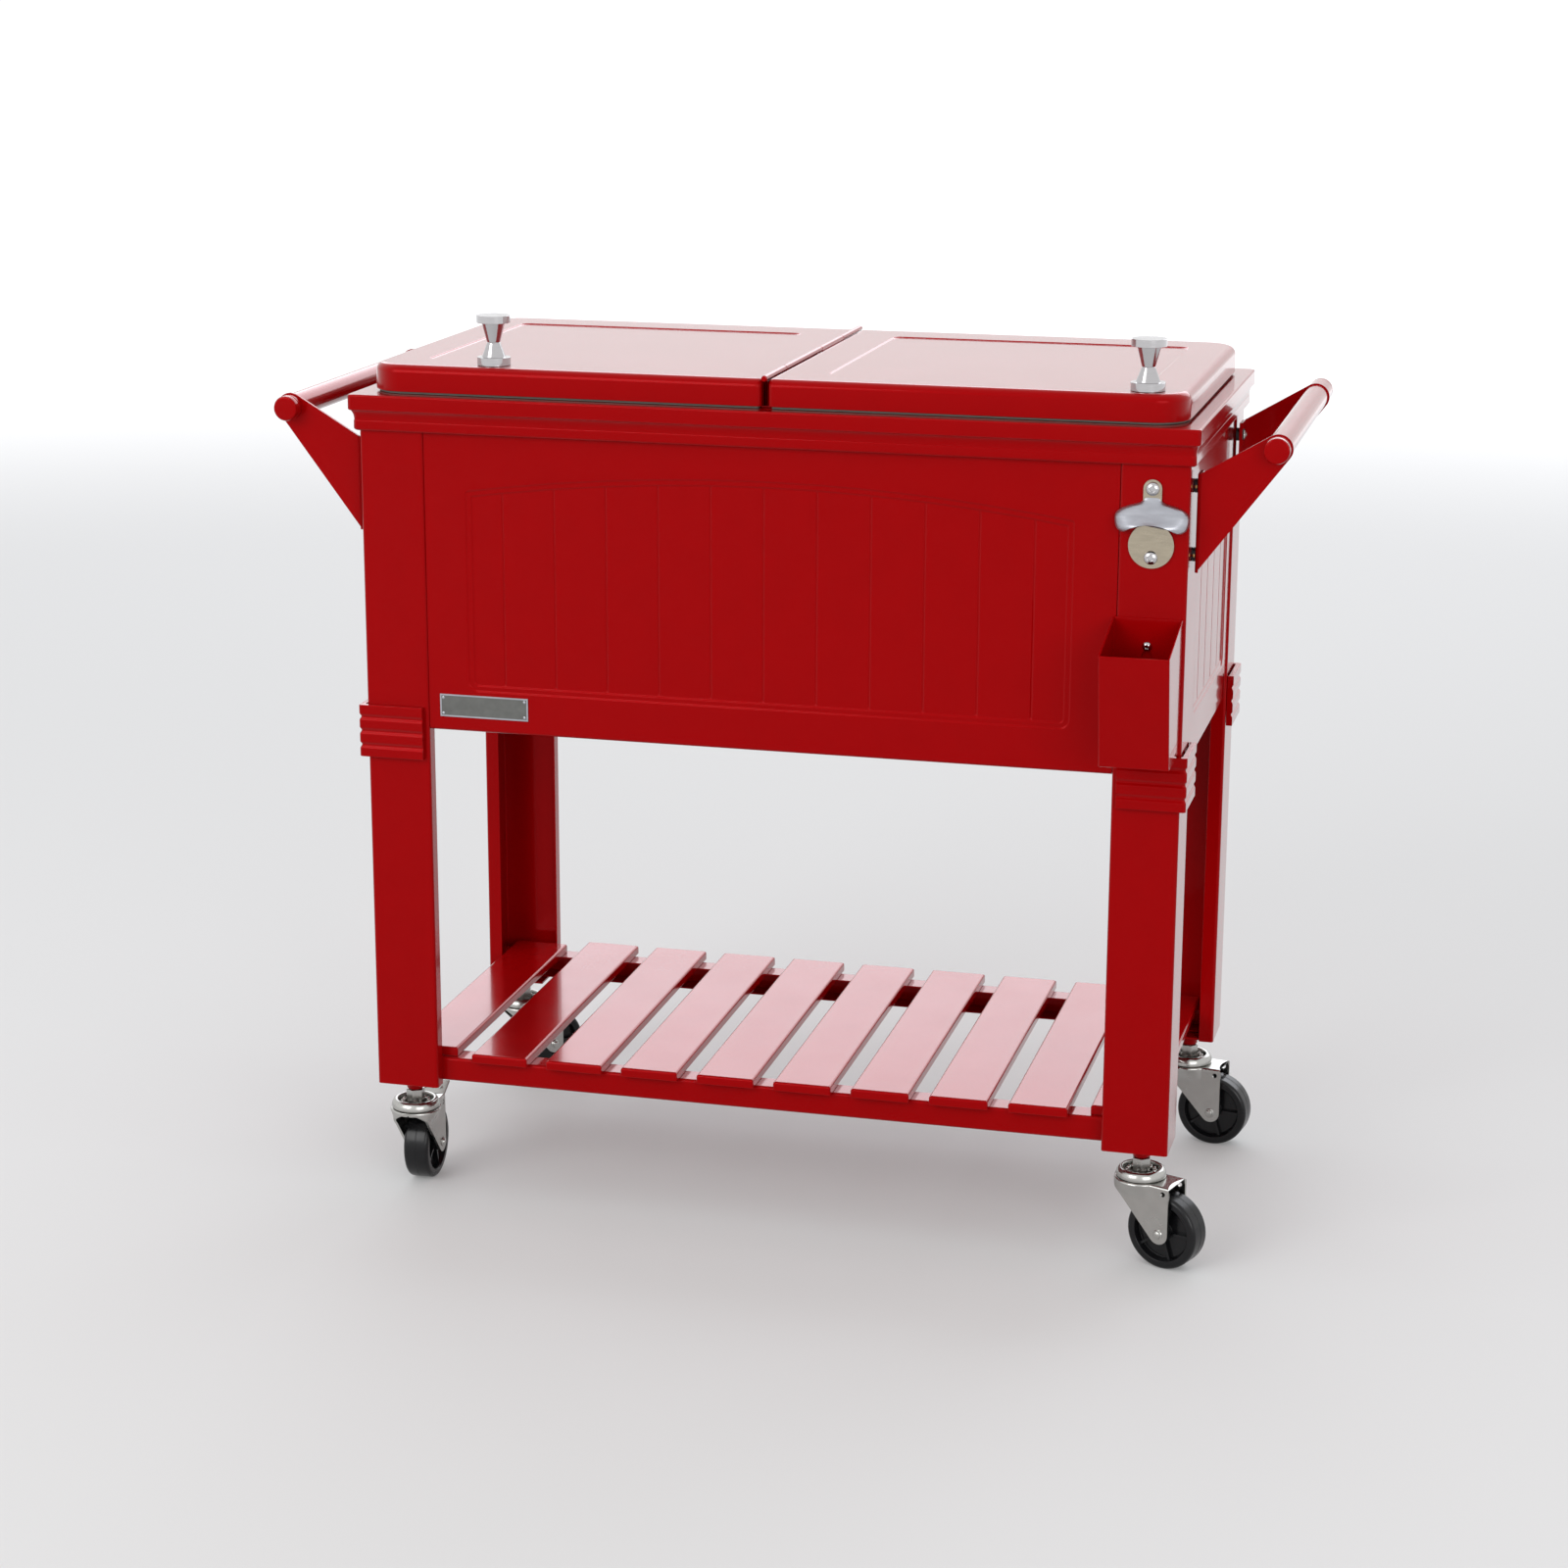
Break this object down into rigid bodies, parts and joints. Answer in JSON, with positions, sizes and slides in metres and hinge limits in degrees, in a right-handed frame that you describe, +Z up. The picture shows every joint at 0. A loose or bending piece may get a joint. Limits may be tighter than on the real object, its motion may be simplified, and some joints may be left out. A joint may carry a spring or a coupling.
{
  "type": "rolling patio cooler",
  "caption": "Insulated patio cooler on casters with two lids on a centre hinge, a slatted shelf, tube handles, a bottle opener and a cap catcher.",
  "frame": {"origin": "middle of the object's box, on the floor under the wheels", "axes": "+X to the right along the length, +Y to the back, +Z up; the front with the opener faces -Y"},
  "size_m": [0.9788, 0.512, 0.8925],
  "materials": {
    "red_coat": "gloss",
    "zinc": "satin",
    "nickel": "satin",
    "knob_steel": "polished",
    "black_wheel": "satin",
    "liner_plastic": "satin",
    "lid_liner": "matte",
    "foam": "matte",
    "black_plastic": "satin"
  },
  "bodies": {
    "root": {"leg_front_left": "red_coat", "leg_front_right": "red_coat", "leg_back_left": "red_coat", "leg_back_right": "red_coat", "collar_front_left": "red_coat", "collar_front_right": "red_coat", "collar_back_left": "red_coat", "collar_back_right": "red_coat", "front_panel": "red_coat", "back_panel": "red_coat", "left_panel": "red_coat", "right_panel": "red_coat", "floor_pan": "red_coat", "crown_frame": "red_coat", "tub": "liner_plastic", "insulation": "foam", "hinge_rail": "red_coat", "shelf_rail_front": "red_coat", "shelf_rail_back": "red_coat", "slat_01": "red_coat", "slat_02": "red_coat", "slat_03": "red_coat", "slat_04": "red_coat", "slat_05": "red_coat", "slat_06": "red_coat", "slat_07": "red_coat", "slat_08": "red_coat", "slat_09": "red_coat", "slat_10": "red_coat", "left_handle_rod": "red_coat", "left_handle_bracket_front": "red_coat", "left_handle_bracket_back": "red_coat", "right_handle_rod": "red_coat", "right_handle_bracket_front": "red_coat", "right_handle_bracket_back": "red_coat", "bottle_opener": "nickel", "caster_stem_front_left": "zinc", "caster_stem_front_right": "zinc", "caster_stem_back_left": "zinc", "caster_stem_back_right": "zinc"},
    "lid_left": {"left_lid_shell": "red_coat", "left_lid_liner": "lid_liner", "left_lid_knob": "knob_steel", "left_hinge_leaf": "red_coat"},
    "lid_right": {"right_lid_shell": "red_coat", "right_lid_liner": "lid_liner", "right_lid_knob": "knob_steel", "right_hinge_leaf": "red_coat"},
    "swivel_front_left": {"caster_fork_front_left": "zinc"},
    "swivel_front_right": {"caster_fork_front_right": "zinc"},
    "swivel_back_left": {"caster_fork_back_left": "zinc"},
    "swivel_back_right": {"caster_fork_back_right": "zinc"},
    "wheel_front_left": {"caster_wheel_front_left": "black_wheel"},
    "wheel_front_right": {"caster_wheel_front_right": "black_wheel"},
    "wheel_back_left": {"caster_wheel_back_left": "black_wheel"},
    "wheel_back_right": {"caster_wheel_back_right": "black_wheel"},
    "brake_front_left": {"brake_pedal_front_left": "zinc"},
    "brake_back_left": {"brake_pedal_back_left": "zinc"},
    "cap_catcher": {"cap_catcher": "red_coat"},
    "drain_cap": {"drain_cap": "black_plastic"}
  },
  "joints": [
    {"name": "left_lid_hinge", "type": "hinge", "parent": "root", "child": "lid_left", "pos_m": [0, 0.02827, 0.8456], "axis": [0, 1, 0], "range_deg": [0, 80]},
    {"name": "right_lid_hinge", "type": "hinge", "parent": "root", "child": "lid_right", "pos_m": [0, 0.02827, 0.8456], "axis": [0, -1, 0], "range_deg": [0, 80]},
    {"name": "front_left_swivel", "type": "hinge", "parent": "root", "child": "swivel_front_left", "pos_m": [-0.3716, -0.14183, 0.0857], "axis": [0, 0, 1], "continuous": true},
    {"name": "front_right_swivel", "type": "hinge", "parent": "root", "child": "swivel_front_right", "pos_m": [0.3716, -0.14183, 0.0857], "axis": [0, 0, 1], "continuous": true},
    {"name": "back_left_swivel", "type": "hinge", "parent": "root", "child": "swivel_back_left", "pos_m": [-0.3716, 0.19837, 0.0857], "axis": [0, 0, 1], "continuous": true},
    {"name": "back_right_swivel", "type": "hinge", "parent": "root", "child": "swivel_back_right", "pos_m": [0.3716, 0.19837, 0.0857], "axis": [0, 0, 1], "continuous": true},
    {"name": "front_left_wheel_axle", "type": "hinge", "parent": "swivel_front_left", "child": "wheel_front_left", "pos_m": [-0.37265, -0.11184, 0.03704], "axis": [-0.9994, -0.0349, 0], "continuous": true},
    {"name": "front_right_wheel_axle", "type": "hinge", "parent": "swivel_front_right", "child": "wheel_front_right", "pos_m": [0.39961, -0.15258, 0.03704], "axis": [0.3584, 0.9336, 0], "continuous": true},
    {"name": "back_left_wheel_axle", "type": "hinge", "parent": "swivel_back_left", "child": "wheel_back_left", "pos_m": [-0.35039, 0.21959, 0.03704], "axis": [-0.7071, 0.7071, 0], "continuous": true},
    {"name": "back_right_wheel_axle", "type": "hinge", "parent": "swivel_back_right", "child": "wheel_back_right", "pos_m": [0.40123, 0.19368, 0.03704], "axis": [0.1564, 0.9877, 0], "continuous": true},
    {"name": "front_left_brake", "type": "hinge", "parent": "swivel_front_left", "child": "brake_front_left", "pos_m": [-0.37279, -0.10785, 0.079], "axis": [-0.9994, -0.0349, 0], "range_deg": [0, 12]},
    {"name": "back_left_brake", "type": "hinge", "parent": "swivel_back_left", "child": "brake_back_left", "pos_m": [-0.34756, 0.22242, 0.079], "axis": [-0.7071, 0.7071, 0], "range_deg": [0, 12]},
    {"name": "cap_catcher_lift", "type": "slide", "parent": "root", "child": "cap_catcher", "axis": [0, 0, 1], "range_m": [0, 0.009]},
    {"name": "drain_cap_thread", "type": "hinge", "parent": "root", "child": "drain_cap", "pos_m": [-0.4, 0.02827, 0.5105], "axis": [-1, 0, 0], "range_deg": [0, 360]}
  ]
}
